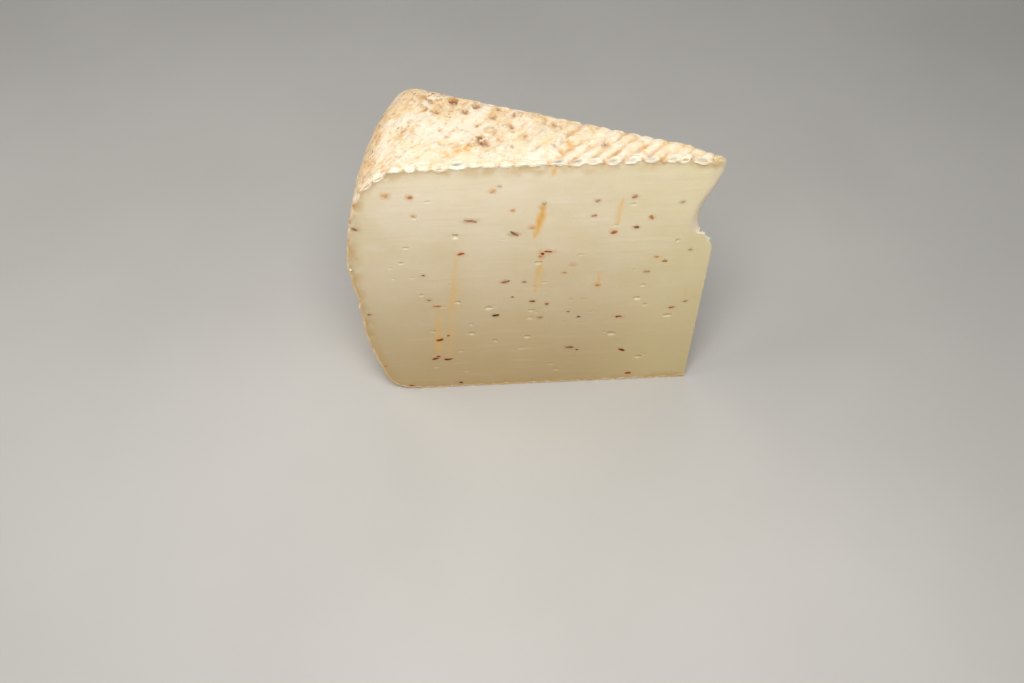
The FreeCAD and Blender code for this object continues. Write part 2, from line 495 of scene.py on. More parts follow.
rindShape = {
    "pits": [  # on the top: reach, distance behind the front cut, width, depth, in millimetres
        (62.9, 11.0, 3.0, 0.6), (61.8, 9.4, 2.2, 0.4), (65.3, 9.0, 1.2, 0.3), (69.7, 28.2, 2.4, 0.6),
        (63.7, 25.6, 1.8, 0.5), (57.7, 23.6, 1.4, 0.4), (54.0, 20.6, 1.5, 0.4), (74.3, 24.0, 1.7, 0.5),
        (77.0, 24.6, 1.4, 0.4), (66.7, 23.3, 1.6, 0.4), (59.3, 20.3, 1.5, 0.4), (63.7, 17.7, 1.2, 0.4),
        (54.7, 16.4, 1.3, 0.4), (54.5, 14.0, 1.2, 0.3), (59.3, 13.7, 1.0, 0.3), (50.7, 11.3, 1.6, 0.3),
        (54.7, 8.0, 1.1, 0.3), (44.0, 8.2, 1.4, 0.3), (31.3, 6.7, 1.9, 0.4), (73.3, 16.0, 1.3, 0.3),
        (71.3, 12.7, 1.0, 0.3), (43.3, 15.3, 1.6, 0.3), (81.0, 20.0, 1.1, 0.3), (46.0, 18.6, 1.0, 0.3),
    ],
    "ripe": [  # ochre places in the mould: reach, distance behind the front cut, width
        (66.6, 9.0, 4.0), (71.3, 4.7, 3.4), (69.0, 7.0, 3.4), (35.0, 7.5, 3.4),
        (40.5, 7.8, 4.0), (43.0, 4.5, 2.6), (58.0, 13.0, 3.4), (80.0, 17.5, 3.0),
    ],
    "stains": [(87.4, 1.3, 1.3)],  # chilli in the rind: reach, distance behind the front cut, size
    "skin": 4 * mm,  # how deep the relief goes into the paste
    "lumps": 0.28 * mm,
    "holes": 0.45 * mm,
    "backRise": 0.35 * mm,  # of the top, towards the back cut
    "tipFall": 1.15 * mm,  # of the top, towards the tip
    "topEdgeSwell": 1.65 * mm,
    "lowEdgeSwell": 0.5 * mm,
    "rimSwell": (56 * mm, 13 * mm, 0.7 * mm),  # height, half its length, how far out
    "rimDent": (39 * mm, 9 * mm, 0.85 * mm),  # height, half its length, depth at the front cut
}


# Whole numbers on the crests, halves in the valleys.
def ridgePhase(x, y):
    back = y - frontY
    start = axisX - x
    for _ in range(8):
        start = axisX - x + back * np.interp(start, ridges["fanReach"], ridges["fanSlope"])
    ends = [lip[0] * mm for lip in lips["front"]]
    before = [ends[0] - k * ridges["spacing"] for k in (3, 2, 1)]
    after = [ends[-1] + k * ridges["spacing"] for k in range(1, 30)]
    crests = before + ends + after
    phase = np.interp(start, crests, np.arange(len(crests)))
    flat = np.column_stack([x, y, np.zeros_like(x)])
    return phase + grains(flat, *ridges["wander"]) * ramp(back, 0, ridges["straightFor"])


# 0 on a crest, 1 at the bottom of a valley. The crests are broad and the valleys narrow.
def grooveAt(x, y):
    phase = ridgePhase(x, y)
    fromCrest = np.abs(phase - np.round(phase)) * 2
    return ramp(fromCrest, 0.2, 1.0) ** 1.25


# How much of the imprint is left: nearly all of it by the tip, patches of it towards the rim.
def wearAt(x, y):
    flat = np.column_stack([x, y, np.zeros_like(x)])
    rimward = ramp(axisX - x, *ridges["wornOver"])
    patches = 0.45 + 0.9 * grain(flat, 7 * mm, 7.7)
    left = 1.0 - rimward * (1.0 - 0.5 * patches) + grains(flat, (0.5, 5, 1.9), (0.3, 2, 2.4))
    for reach, behind, size in ridges["rubbed"]:
        away = np.hypot(x - (axisX - reach), (y - frontY - behind) * 1.4)
        left = left * (1 - 0.75 * ramp(away, size, 0.3 * size))
    return np.clip(left, 0.08, 1.1)


# How far places of the top are from a mark, in half widths. A squash below 1 makes it longer that way.
def awayFrom(mark, x, y, squash):
    reach, behind, wide = mark
    across = (x - (axisX - reach * mm)) * squash[0]
    return np.hypot(across, (y - frontY - behind * mm) * squash[1]) / (wide * mm / 2)


# The marks on the top: the pits in millimetres of depth, and how brown, ripe or stained it is round them.
def marksAt(points):
    x, y = points[:, 0], points[:, 1]
    # Looked up a little to the side, so that their outlines are uneven.
    bentX = x + grains(points, (0.8, 1.3, 12.0), (0.4, 0.6, 15.0)) * mm
    bentY = y + grains(points, (1.0, 1.3, 13.0), (0.4, 0.6, 16.0)) * mm
    pits, around, ripe, stain = (np.zeros_like(x) for _ in range(4))
    for *mark, deep in rindShape["pits"]:
        away = awayFrom(mark, bentX, bentY, (1, 0.75))
        pits = np.maximum(pits, ramp(away, 1.2, 0.45) * deep)
        around = np.maximum(around, ramp(away, 2.4, 0.9) * min(1, deep * 1.6))
    for mark in rindShape["ripe"]:
        ripe = np.maximum(ripe, ramp(awayFrom(mark, bentX, bentY, (1, 1)), 1.5, 0.3))
    for mark in rindShape["stains"]:
        stain = np.maximum(stain, ramp(awayFrom(mark, x, y, (1.4, 1)), 1.3, 0.4))
    return pits, around, ripe, stain


# Where each point lies, mostly as shares from 0 to 1, and the noise and marks that the rind has there.
def surveyOf(points):
    x, y, z = points.T
    at = SimpleNamespace(points=points, z=z)
    at.reach, at.turn = polar(points)
    at.share = at.turn / angle
    at.depth, at.facing = underRind(at.reach, z)
    at.sideward, at.upward = at.facing.T
    at.near = ramp(at.depth, rindShape["skin"], 0)
    at.onTop = at.near * ramp(at.upward, 0.8, 0.98)
    at.onBottom = at.near * ramp(-at.upward, 0.8, 0.98)
    at.onRim = at.near * ramp(at.sideward, 0.2, 0.6)
    at.offTip = ramp(at.reach, 2.5 * mm, 7 * mm)
    at.rimward = ramp(at.reach, 35 * mm, 70 * mm)
    at.groove = grooveAt(x, y) * (1 - 0.5 * ramp(at.share, 0.45, 1))
    uneven = 0.85 + grains(points, (0.9, 4, 21.0), (0.5, 1.6, 22.0))
    at.imprint = wearAt(x, y) * np.clip(uneven, 0.15, 1.5)
    at.lumps = grain(points, 6 * mm, 1.3)
    at.middling = grain(points, 2.6 * mm, 8.3)
    at.small = grain(points, 1.2 * mm, 2.9)
    at.fine = grain(points, 0.8 * mm, 19.0)
    at.holes = ramp(grains(points, (1, 3.4, 9.2), (0.4, 1.3, 14.2)), 0.42, 0.75)
    at.pits, at.around, at.ripe, at.stain = marksAt(points)
    return at


# How far the top falls: ridges, pits and holes, less the lumps.
def topFall(at):
    fall = at.groove * at.imprint * ridges["depth"] * at.offTip + at.pits * mm * at.onTop
    fall += at.holes * rindShape["holes"] * (0.25 + 0.45 * at.rimward)
    fall -= at.lumps * rindShape["lumps"] * (0.25 + 0.75 * at.rimward)
    fall -= (0.12 * at.middling + 0.1 * at.small + 0.06 * at.fine) * mm
    fall -= rindShape["backRise"] * ramp(at.share, 0.4, 0.9)
    fall += rindShape["tipFall"] * ramp(at.reach, 13 * mm, 4.5 * mm)
    return np.maximum(fall, -0.5 * mm)


# How far the rim lies in: slow waves, small lumps and faint folds of the cloth that was wrapped round it.
def rimFall(at):
    folds = np.sin(at.z / (1.5 * mm) + 1.5 * grain(at.points, 12 * mm, 4.4)) * 0.05 * mm
    fall = folds + (0.5 * at.holes - 0.3 * at.lumps - 0.15 * at.middling - 0.1 * at.small) * mm
    fall += 0.4 * mm * grain(at.points, 16 * mm, 6.5)
    swellZ, swellHalf, swellHigh = rindShape["rimSwell"]
    fall -= swellHigh * hump(at.z, swellZ, swellHalf)
    dentZ, dentHalf, dentDeep = rindShape["rimDent"]
    fall += dentDeep * hump(at.z, dentZ, dentHalf) * ramp(at.share, 0.5, 0)
    return np.maximum(fall, -0.9 * mm)


# How far the wheel's edge swells: the top one towards the back cut, the bottom one towards the front cut.
def edgeSwell(at):
    top = hump(at.upward, 0.8, 0.35) * ramp(at.sideward, 0.05, 0.5) * ramp(at.share, 0.15, 1)
    low = np.clip(-2 * at.upward * at.sideward, 0, 1) ** 2 * ramp(at.share, 1, 0.2)
    return (top * rindShape["topEdgeSwell"] + low * rindShape["lowEdgeSwell"]) * at.near


def rindMoves(at):
    lowFall = at.groove * ridges["depth"] * at.offTip
    out = edgeSwell(at) - topFall(at) * at.onTop - lowFall * at.onBottom - rimFall(at) * at.onRim
    return turnedFacing(at.facing, at.turn) * out[:, None]


# What the rind's colours are painted by, each from 0 to 1.
def rindLooks(at):
    deepest = 1.3 * at.groove**1.8 * at.imprint * (1 - 0.65 * ramp(at.reach, 36 * mm, 56 * mm))
    rimward = 0.15 + 0.85 * ramp(at.reach, 30 * mm, 80 * mm)
    clusters = ramp(grains(at.points, (1, 6, 71.0), (0.5, 2, 73.0)), -0.05, 0.5)
    fromCut = np.minimum(at.share, 1 - at.share) * angle * at.reach
    return {
        "hole": at.holes * at.near,
        "groove": np.clip(deepest * at.offTip * (at.onTop + at.onBottom), 0, 1),
        "pit": np.clip(at.pits * 1.7, 0, 1) * at.onTop,
        "around": at.around * at.onTop,
        "ripe": at.ripe * at.onTop,
        "stain": at.stain * (at.upward > 0.3),
        # On the rim: its tan and brown are partly the rind's own colour, partly painted shade.
        "rim": at.onRim,
        "rimward": rimward,
        "tanned": np.clip(0.8 * ramp(at.share, 0.5, 1) + 0.7 * ramp(at.reach, 9 * mm, 5 * mm), 0, 1),
        "bloom": ramp(at.turn * at.reach, 15 * mm, 2 * mm) * ramp(at.reach, 8 * mm, 16 * mm) * at.onTop,
        "speckled": clusters * np.clip(0.25 + ramp(at.share, 0.35, 0.9), 0, 1) * rimward,
        "edge": ramp(fromCut, 1.4 * mm, 0.3 * mm) * ramp(at.z, 68 * mm, 58 * mm),
    }


# The places of a cut as if it weren't turned: reach, 0 and height.
def flatCut(points):
    return np.column_stack([polar(points)[0], np.zeros(len(points)), points[:, 2]])


# Relief of a cut face, outwards from it: the knife's waves and the eyes. With it, where the eyes' hollows
# are, which get a painted shade, and their pressed lips, which get a painted highlight.
def cutMoves(points, side):
    face = flatCut(points)
    seed = 0.0 if side == "front" else 40.0
    out = grain(face / [1.6, 1, 0.7], 22 * mm, 5.0 + seed) * 0.16 * mm
    out += grain(face / [9, 1, 0.35], 3 * mm, 8.0 + seed) * 0.035 * mm
    hollow, paintedHighlight = np.zeros(len(points)), np.zeros(len(points))
    for reach, z, wide, tall in eyesOf(side):
        across = (face[:, 0] - reach * mm) / (wide * mm / 2)
        up = (face[:, 2] - z * mm) / (tall * mm / 2)
        near = np.abs(across) + np.abs(up) < 6
        if not near.any():
            continue
        across, up = across[near], up[near]
        wobble = 1 + 0.8 * grain(face[near] / [1.4, 1, 0.7], 0.7 * mm, reach)
        strength = 0.55 + 0.45 * ramp(tall, 0.7, 1.2)
        dent = ramp((across**2 + (up + 0.2 * across**2) ** 2) * wobble, 1.15, 0.2) * strength
        lip = np.exp(-((up + 1.3) ** 2) * 2.0 - across**2 * 0.9) * strength
        out[near] -= dent * eyes["depth"] * tall * mm - eyes["lip"] * lip
        hollow[near] = np.maximum(hollow[near], dent)
        paintedHighlight[near] = np.maximum(paintedHighlight[near], lip)
    return out, hollow, paintedHighlight


# Oil streaks and the blush round the flakes, on a cut face.
def stainAt(points, side):
    face = flatCut(points)
    rough = grain(face / [1, 1, 2.5], 1.1 * mm, 17.0)
    patchy = 0.8 + 0.5 * grain(face / [1, 1, 2], 3.5 * mm, 23.0)
    patchy += 0.4 * grain(face / [1, 1, 8], 0.7 * mm, 27.0)
    place = face[:, [0, 2]] / mm
    oil, blush, warm = (np.zeros(len(points)) for _ in range(3))
    for start, end, width, strength in streaks[side]:
        along = np.array(end) - np.array(start)
        fromStart = place - np.array(start)
        t = np.clip(fromStart @ along / (along @ along), 0, 1)
        away = np.linalg.norm(fromStart - t[:, None] * along, axis=1)
        half = width / 2 * (0.35 + 0.65 * np.sin(t * math.pi) ** 0.7) * (1 + 0.5 * rough)
        oil = np.maximum(oil, strength * patchy * ramp(away, half * streaks["fade"], 0) ** 2)
    for kind in flakeKinds:
        for reach, z, length, width, *_ in flakesOf(kind, side):
            across = (place[:, 0] - reach) / (length * 0.5 + 0.6)
            up = (place[:, 1] - z) / (width * 0.5 + 0.55)
            halo = ramp(np.hypot(across, up) * (1 + 0.3 * rough), 1.25, 0.35)
            if kind == "dark":
                blush = np.maximum(blush, halo * min(1, length / 2.5))
            else:
                warm = np.maximum(warm, halo)
    return np.clip(oil, 0, 1), blush, warm


# The paste: a grid set in the outline of the cut face, then turned about the wheel's axis.

wedgeGrid = {
    "columns": 184,
    "rows": 126,
    "turns": 22,
    "underRind": 0.46 * mm,  # how far the paste's skin lies below the rind's
    "dividedOver": 0.12 * mm * mm,  # the smallest face that is divided
    "ledgeTorn": 2.1 * mm,  # how far down the ledge is torn at the back cut
    "chips": [(0.8, -4.4, -3.2), (0.5, -2.2, -1.4)],  # off the ledge's corner, mm: size, from and to height
    "breakReach": (0.3 * mm, 1.7 * mm),  # how far the front cut is eaten away, below and above the ledge
    "breakShare": (0.05, 0.45),  # of the tip's width, how deep that goes
}


def buildWedge():
    deselect()
    columns, rows = wedgeGrid["columns"], wedgeGrid["rows"]
    bpy.ops.mesh.primitive_grid_add(x_subdivisions=columns, y_subdivisions=rows, size=1, location=(0, 0, 0))
    wedge = bpy.context.object
    wedge.name = "cheeseWedge"
    low, top, tipSide, rimSide = outlineSides(columns, rows)
    # Each point of the square grid goes to its place between the outline's four sides.
    square = pointsOf(wedge)
    u = square[:, 0] + 0.5
    v = square[:, 1] + 0.5
    i = np.rint(u * columns).astype(int)
    j = np.rint(v * rows).astype(int)
    u, v = u[:, None], v[:, None]
    between = (1 - v) * low[i] + v * top[i] + (1 - u) * tipSide[j] + u * rimSide[j]
    corners = (1 - u) * ((1 - v) * low[0] + v * top[0]) + u * ((1 - v) * low[-1] + v * top[-1])
    place = between - corners
    movePoints(wedge, np.column_stack([axisX - place[:, 0], np.full(len(place), frontY), place[:, 1]]))
    spinAboutAxis(wedge, wedgeGrid["turns"])
    print("paste turned:", len(wedge.data.polygons), "faces")
    return wedge


def spinAboutAxis(piece, turns):
    editAll(piece)
    bpy.ops.mesh.spin(steps=turns, angle=angle, center=(axisX, frontY, 0), axis=(0, 0, 1))
    leaveEdit()
    closeMesh(piece)


# Which points lie on the front cut, and which on the back cut.
def sidesOf(points):
    fromAxis = points - onCut("front", 0, 0)
    return {side: np.abs(fromAxis @ cutFacing(side)) < 1e-6 for side in cutTurns}


# Divides the faces of a cut that lie in the spots: reach, height, half width and half height of each.
def divideFaces(wedge, side, spots, cuts):
    centres = faceCentres(wedge)
    reach, z = polar(centres)[0] / mm, centres[:, 2] / mm
    chosen = np.zeros(len(centres), bool)
    for spotReach, spotZ, wide, tall in spots:
        chosen |= ((reach - spotReach) / wide) ** 2 + ((z - spotZ) / tall) ** 2 < 1
    sizes = np.empty(len(centres))
    wedge.data.polygons.foreach_get("area", sizes)
    pick(wedge, "FACE", chosen & sidesOf(centres)[side] & (sizes > wedgeGrid["dividedOver"]))
    bpy.ops.mesh.subdivide(number_cuts=cuts)
    leaveEdit()


# Finer faces round the eyes and under the flakes and streaks, so that each gets its own shape and colour.
def refineCuts(wedge):
    for side in cutTurns:
        spots = [(reach, z, wide / 2 + 0.6, tall / 2 + 0.8) for reach, z, wide, tall in eyesOf(side)]
        divideFaces(wedge, side, spots, 2)
        spots = []
        for kind in flakeKinds:
            for reach, z, length, width, *_ in flakesOf(kind, side):
                spots.append((reach, z, length / 2 + 0.8, width / 2 + 0.8))
        for start, end, width, strength in streaks[side]:
            if strength > 0.45:
                for t in np.linspace(0, 1, 12):
                    place = np.array(start) * (1 - t) + np.array(end) * t
                    spots.append((*place, width * 0.9, width * 0.9))
        divideFaces(wedge, side, spots, 1)
    print("cuts refined:", len(wedge.data.polygons), "faces")


# How far the ledge is torn away: the more the nearer the back cut.
def tornAway(points):
    reach, turn = polar(points)
    nearLedge = hump(points[:, 2], ledge - 1 * mm, 3 * mm) * ramp(reach, 7.5 * mm, 5.6 * mm)
    return wedgeGrid["ledgeTorn"] * nearLedge * ramp(turn / angle, 0.1, 0.9)


# How far the ledge's corner is chipped back, in two steps.
def chippedOff(points):
    up = points[:, 2] - ledge
    fromEnd = polar(points)[0] - tip["ledgeReach"]
    back = sum(size * ramp(up, low * mm, high * mm) for size, low, high in wedgeGrid["chips"])
    return back * mm * ramp(up, 1.5 * mm, -0.2 * mm) * ramp(fromEnd, 3.4 * mm, 0.4 * mm)


# Above the ledge the break slants into the front cut. Below it the knife left the edges sharp.
def breakMoves(points, tipReach, broken):
    sides = sidesOf(points)
    reach, turn = polar(points)
    share = turn / angle
    width = np.maximum(reach, tipReach) * angle
    shareLow, shareHigh = wedgeGrid["breakShare"]
    shares = {"front": shareLow + (shareHigh - shareLow) * broken, "back": shareLow * (1 + broken)}
    eatenLow, eatenHigh = wedgeGrid["breakReach"]
    eaten = (eatenLow + (eatenHigh - eatenLow) * broken) * np.clip(tipReach / (5 * mm), 0.5, 1)
    moves = np.zeros_like(points)
    for side, over in (("front", eaten), ("back", 0.15 * eaten)):
        gone = np.clip(1 - (reach - tipReach) / over, 0, 1) ** 1.5
        moves -= (sides[side] * shares[side] * width * gone)[:, None] * cutFacing(side)
    # The blunt end is squeezed in between the cuts.
    onEnd = (np.abs(reach - tipReach) < 0.02 * mm) & ~sides["front"] & ~sides["back"]
    squeezed = shares["front"] + share * (1 - shares["front"] - shares["back"])
    shift = np.where(onEnd, (squeezed - share) * width, 0)
    return moves + shift[:, None] * np.column_stack([np.sin(turn), np.cos(turn), np.zeros_like(turn)])


# The torn tip: soft waves in the break, a crumbly ledge and a ragged blunt end below it.
def tearMoves(points, onTip, onLedge):
    moves = np.zeros_like(points)
    rough = (0.12 + 0.8 * onLedge + 0.1 * ramp(points[:, 2], ledge, ledge - 3 * mm)) * mm
    moves[:, 0] = onTip * rough * grains(points, (1, 1.1, 31.0), (0.6, 0.5, 33.0)) - chippedOff(points)
    moves[:, 2] = onTip * onLedge * 0.4 * mm * grain(points, 0.8 * mm, 37.0) - tornAway(points)
    return moves


def shapeWedge(wedge):
    points = pointsOf(wedge)
    at = surveyOf(points)
    tipHeights, tipReaches = np.array(tipLine()).T[::-1]
    tipReach = np.interp(at.z, tipHeights, tipReaches)
    broken = ramp(at.z, ledge - 0.6 * mm, ledge + 0.8 * mm)
    onTip = ramp(at.reach, tipReach + 1.6 * mm, tipReach + 0.2 * mm) * (at.depth > 0.2 * mm)
    onLedge = hump(at.z, ledge - 1.2 * mm, 2.2 * mm)
    sink = wedgeGrid["underRind"] * ramp(at.depth, 1.5 * mm, 0) * ramp(at.reach, 3.6 * mm, 5.2 * mm)
    moves = rindMoves(at) - turnedFacing(at.facing, at.turn) * sink[:, None]
    moves += breakMoves(points, tipReach, broken) + tearMoves(points, onTip, onLedge)
    painted = {name: np.zeros(len(points)) for name in ("hollow", "paintedHighlight", "oil", "blush", "warm")}
    for side, here in sidesOf(points).items():
        out, painted["hollow"][here], painted["paintedHighlight"][here] = cutMoves(points[here], side)
        inside = ramp(at.depth[here], 0, 1.2 * mm) * ramp(at.reach[here], 2 * mm, 5 * mm)
        moves[here] += (out * inside)[:, None] * cutFacing(side)
        painted["oil"][here], painted["blush"][here], painted["warm"][here] = stainAt(points[here], side)
    movePoints(wedge, points + moves)
    clear = ramp(at.z, height - 2 * mm, height - 6 * mm)
    painted["ochre"] = ramp(at.depth + 1.6 * mm * grain(points, 4 * mm, 51.0), 4.0 * mm, 0)
    # Painted shade: the paste's colour darkens and yellows towards the bottom, where less light reaches it.
    painted["lower"] = ramp(at.z, height * 1.1, -height * 0.1)
    painted["tipward"] = ramp(at.reach, 40 * mm, 10 * mm)
    painted["torn"] = onTip * np.clip(onLedge * 1.2 + 0.25 * (at.z > ledge), 0, 1)
    # Painted shade: the break above the ledge is tinted greyer and darker.
    painted["broken"] = broken * clear * ramp(at.reach, tipReach + 3.6 * mm, tipReach)
    painted["tipTop"] = (1 - clear) * ramp(at.reach, 7 * mm, 4.6 * mm)
    for name, values in painted.items():
        paint(wedge, name, values)
    wedge.data.materials.append(pasteMaterial())
    smoothShade(wedge, 50)
    print("paste shaped:", len(points), "points")


# The point of a line whose reach or height, in column 0 or 1, is nearest to so many millimetres.
def nearestOn(line, column, wanted):
    return line[np.argmin(np.abs(line[:, column] - wanted * mm))]


# Every lip as its place on the outline, width, place behind the edge, overhang and hollow.
def lipsOf(side):
    top, rim, _ = rindStretches()
    line = evenly(top + rim[1:], 1200)
    upper = line[(line[:, 1] > height * 0.8) & (line[:, 0] > 6 * mm)]
    outer = line[line[:, 0] > wheel["radius"] * 0.85]
    if side == "front":
        found = [(nearestOn(upper, 0, reach), *shape) for reach, *shape in lips["front"]]
        return found + [(nearestOn(outer, 1, z), *shape) for z, *shape in lips["rim"]]
    random.seed(5)
    spots = np.array([onCut("back", reach, z) for reach, z in upper])
    phase = ridgePhase(spots[:, 0], spots[:, 1])
    found = []
    for crest in range(math.ceil(phase.min()), math.floor(phase.max()) + 1):
        width = random.uniform(*lips["backWidths"])
        behind = random.uniform(-0.2, 0.8)
        hang = random.uniform(0.1, 0.7)
        hollowed = random.choice([0, 0.1, 0.4, 0.8])
        found.append((upper[np.argmin(np.abs(phase - crest))], width, behind, hang, hollowed))
    for z in lips["backRim"]:
        found.append((nearestOn(outer, 1, z), random.uniform(1.6, 2.8), 0.1, 0.5, 0.1))
    return found


# The knife rolled the rind's edge over the cut. Each ridge ends in a lip, some with a hollow behind it.
def lipMoves(points, side):
    outward = cutFacing(side)
    moves = np.zeros_like(points)
    hollow, lipped, lined = (np.zeros(len(points)) for _ in range(3))
    wobble = grain(points, 0.9 * mm, 81.0)
    for place, width, behind, hang, hollowed in lipsOf(side):
        away = points - onCut(side, *place)
        near = np.abs(away).max(axis=1) < 5 * mm
        if not near.any():
            continue
        facing = underRind(place[:1], place[1:])[1]
        surface = turnedFacing(facing, cutTurns[side])[0]
        rough = 1 + 0.5 * wobble[near]
        along = away[near] @ np.cross(surface, outward) / (width * 0.6 * mm)
        back = -(away[near] @ outward)
        across = np.clip(1 - along**2 * rough, 0, 1)
        bent = across * hump(back, 0, lips["rolledOver"])
        middle = max(behind, 0.55) * mm
        ring = np.hypot(along * 1.05, (back - middle) / (1.2 * mm)) * rough
        raised = hump(ring, 0.85, 0.28) * hollowed + ramp(ring, 1.2, 0.2) * (1 - hollowed)
        pressed = hollowed * hump(along, 0, 0.55) * hump(back, middle, 0.5 * mm)
        amount = raised * lips["swell"] - pressed * lips["hollow"] - bent * hang * mm
        moves[near] += amount[:, None] * surface + (bent * lips["standOut"])[:, None] * outward
        # The hollow's mask carries a painted shade: grey in the dent behind the lip.
        hollow[near] = np.maximum(hollow[near], np.clip(pressed * 1.3 - 0.1, 0, 1))
        lipped[near] = np.maximum(lipped[near], across * ramp(back * rough, 2.2 * mm, 0.5 * mm))
        lined[near] = 1
    behindCut = (onCut(side, 0, 0) - points) @ outward
    gap = lined * ramp(lipped, 0.45, 0.05) * ramp(behindCut, 1.7 * mm, 0.5 * mm)
    if side == "back":
        return moves * 0.22, hollow * 0.3, lipped * 0.15, gap * 0.5
    return moves, hollow, lipped, gap


# The rind: a thin shell over the top, the rim and the bottom, ending at both cuts.

rindShell = {
    "topStep": 0.42 * mm,
    "rimStep": 0.55 * mm,
    "lowStep": 1.6 * mm,
    "turns": 96,
    "crowding": 0.62,  # how much closer the steps lie by the cuts
    "thick": 0.55 * mm,
    "proud": 0.05 * mm,  # how far its ends stand out from the cuts
    "tornReach": 4.9 * mm,
    "dip": 0.8 * mm,
}


def buildRind():
    steps = (rindShell["topStep"], rindShell["rimStep"], rindShell["lowStep"])
    stretches = [evenly(part, int(lengthOf(part) / step)) for part, step in zip(rindStretches(), steps)]
    line = np.vstack([stretches[0], stretches[1][1:], stretches[2][1:]])
    deselect()
    bpy.ops.mesh.primitive_circle_add(vertices=len(line), radius=1, location=(0, 0, 0))
    rind = bpy.context.object
    rind.name = "rindShell"
    openLoop(rind)
    movePoints(rind, np.column_stack([axisX - line[:, 0], np.full(len(line), frontY), line[:, 1]]))
    spinAboutAxis(rind, rindShell["turns"])
    print("rind turned:", len(rind.data.polygons), "faces")
    return rind


# Takes out the edge that closes a circle, so that its points make a line.
def openLoop(piece):
    ends = {0, len(piece.data.vertices) - 1}
    pick(piece, "EDGE", [set(edge.vertices) == ends for edge in piece.data.edges])
    bpy.ops.mesh.delete(type="EDGE")
    leaveEdit()


# The points with the steps of the turn moved closer to the cuts.
def crowded(points):
    reach, turn = polar(points)
    share = turn / angle
    turn = (share - rindShell["crowding"] * np.sin(2 * math.pi * share) / (2 * math.pi)) * angle
    return np.column_stack([axisX - reach * np.cos(turn), frontY + reach * np.sin(turn), points[:, 2]])


def shapeRind(rind):
    points = crowded(pointsOf(rind))
    at = surveyOf(points)
    moves, looks = rindMoves(at), rindLooks(at)
    rolled = [lipMoves(points, side) for side in cutTurns]
    moves += rolled[0][0] + rolled[1][0]
    for index, name in enumerate(("hollow", "lip", "gap"), start=1):
        looks[name] = np.maximum(rolled[0][index], rolled[1][index])
    # Towards the tip the rind is torn off: it dips under the paste along a ragged line.
    torn = rindShell["tornReach"] + 0.9 * mm * grain(points, 1.6 * mm, 61.0)
    dip = rindShell["dip"] * ramp(at.reach, torn + 0.5 * mm, torn - 0.6 * mm)
    moves[:, 2] -= np.where(at.z > height / 2, dip, -dip)
    for name, values in looks.items():
        paint(rind, name, values)
    movePoints(rind, points + moves)
    closeMesh(rind)
    highest = int(np.argmax(faceCentres(rind)[:, 2]))
    if rind.data.polygons[highest].normal.z < 0:
        editAll(rind)
        bpy.ops.mesh.flip_normals()
        leaveEdit()
    thickenRind(rind, sidesOf(points))
    rind.data.materials.append(rindMaterial())
    smoothShade(rind, 55)
    print("rind shaped:", len(rind.data.polygons), "faces")


# Gives the rind its thickness, inwards, and lets its ends stand out from the cuts.
def thickenRind(rind, sides):
    for side, here in sides.items():
        paint(rind, side, here)
    addModifier(rind, "SOLIDIFY", thickness=rindShell["thick"], offset=-1)
    points = pointsOf(rind)
    for side in sides:
        ends = np.empty(len(points), np.float32)
        rind.data.attributes[side].data.foreach_get("value", ends)
        points += ends[:, None] * cutFacing(side) * rindShell["proud"]
        rind.data.attributes.remove(rind.data.attributes[side])
    movePoints(rind, points)


# Flakes of dried chilli in the cut faces, and crumbs.


# A small ball that every flake or crumb is a reshaped copy of, and its points.
def startBall():
    deselect()
    bpy.ops.mesh.primitive_ico_sphere_add(subdivisions=2, radius=0.5, location=(0, 0, 0))
    return bpy.context.object, pointsOf(bpy.context.object)


def buildFlakes(kind):
    chip, ball = startBall()
    made = []
    for side in cutTurns:
        listed = flakesOf(kind, side)
        random.seed(flakes["seeds"][kind] + 100)
        for reach, z, length, width, tilt, depth in listed:
            flake = copyOf(chip)
            seed = random.uniform(0, 90)
            uneven = 1 + 0.6 * grain(ball, 0.42, seed) + 0.25 * grain(ball, 0.2, seed)
            shape = ball * uneven[:, None]
            bend = random.uniform(-0.36, 0.36) * min(1.6, length / width)
            shape[:, 2] += bend * (shape[:, 0] ** 2 - 0.1)
            shape = shape * [length * 1.12 * mm, flakes["thickness"], width * mm]
            turned = Matrix.Rotation(math.radians(-tilt), 3, "Y")
            if side == "back":
                turned = Matrix.Rotation(math.pi - angle, 3, "Z") @ turned
            centre = onCut(side, reach * mm, z * mm) - cutFacing(side) * flakes["thickness"] * 0.22
            movePoints(flake, shape @ np.array(turned).T + centre)
            paint(flake, "sunk", np.full(len(ball), max(depth, 0)))
            paint(flake, "charred", np.full(len(ball), max(-depth, 0)))
            made.append(flake)
    bpy.data.objects.remove(chip)
    piece = joinPieces(made, "chilli" + kind.capitalize())
    piece.data.materials.append(flakeMaterial(kind))
    smoothShade(piece, 60)
    print("flakes", kind, len(piece.data.polygons), "faces")
    return piece


crumbs = {
    "ledge": 20,
    "ledgeSizes": (0.2, 0.45),
    "cornerReach": 4.2 * mm,  # over which the ledge falls away to its corner
    "rimHeights": (38.0, 37.2, 24.1, 23.2, 52.0, 11.5),  # a few stuck to the rind's front edge
    "rimSizes": (0.35, 0.6),
}


# The nearest place on the surface of the pieces, so that no crumb floats.
def seated(spot, trees):
    found = [tree.find_nearest(spot) for tree in trees]
    return np.array(min(found, key=lambda hit: hit[3])[0])


